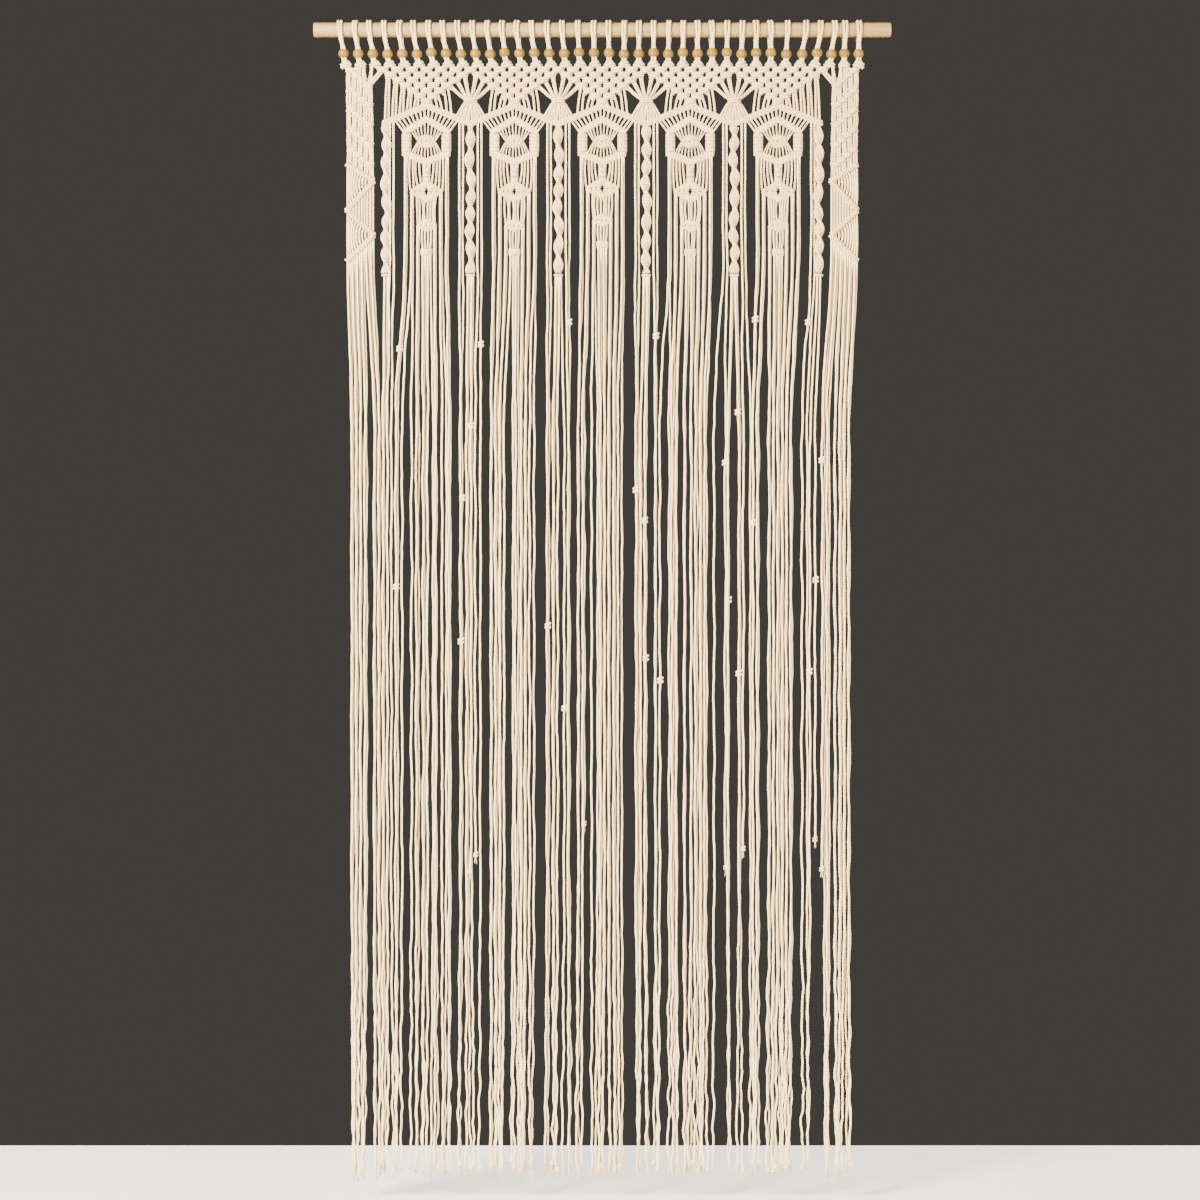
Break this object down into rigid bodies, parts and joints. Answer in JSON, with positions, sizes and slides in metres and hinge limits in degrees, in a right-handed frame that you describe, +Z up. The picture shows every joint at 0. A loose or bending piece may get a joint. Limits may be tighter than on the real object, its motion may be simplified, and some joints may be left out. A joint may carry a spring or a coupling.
{
  "type": "macrame bead curtain on rod",
  "caption": "Door curtain of knotted cotton cord: a scalloped macrame valance with a row of round wooden beads, long hanging strings, and the wooden rod it is looped on.",
  "frame": {"origin": "middle of the rod's axis", "axes": "+X along the rod, to the right as seen from the front; +Z up; the front looks towards -Y"},
  "size_m": [1, 0.0388, 2.0151],
  "materials": {
    "pine": "bare pale softwood, planed",
    "beech": "smooth, thinly varnished",
    "cotton": "natural unbleached plied cotton cord"
  },
  "bodies": {
    "root": {"rod": "pine", "bead_01": "beech", "bead_02": "beech", "bead_03": "beech", "bead_04": "beech", "bead_05": "beech", "bead_06": "beech", "bead_07": "beech", "bead_08": "beech", "bead_09": "beech", "bead_10": "beech", "bead_11": "beech", "bead_12": "beech", "bead_13": "beech", "bead_14": "beech", "bead_15": "beech", "bead_16": "beech", "bead_17": "beech", "bead_18": "beech", "bead_19": "beech", "bead_20": "beech", "bead_21": "beech", "bead_22": "beech", "bead_23": "beech", "bead_24": "beech", "bead_25": "beech", "bead_26": "beech", "bead_27": "beech", "bead_28": "beech", "bead_29": "beech", "bead_30": "beech", "bead_31": "beech", "bead_32": "beech", "bead_33": "beech", "bead_34": "beech", "bead_35": "beech", "bead_36": "beech", "macrame": "cotton", "sinnet_1": "cotton", "sinnet_2": "cotton", "sinnet_3": "cotton", "sinnet_4": "cotton", "sinnet_5": "cotton", "sinnet_6": "cotton"}
  },
  "joints": []
}
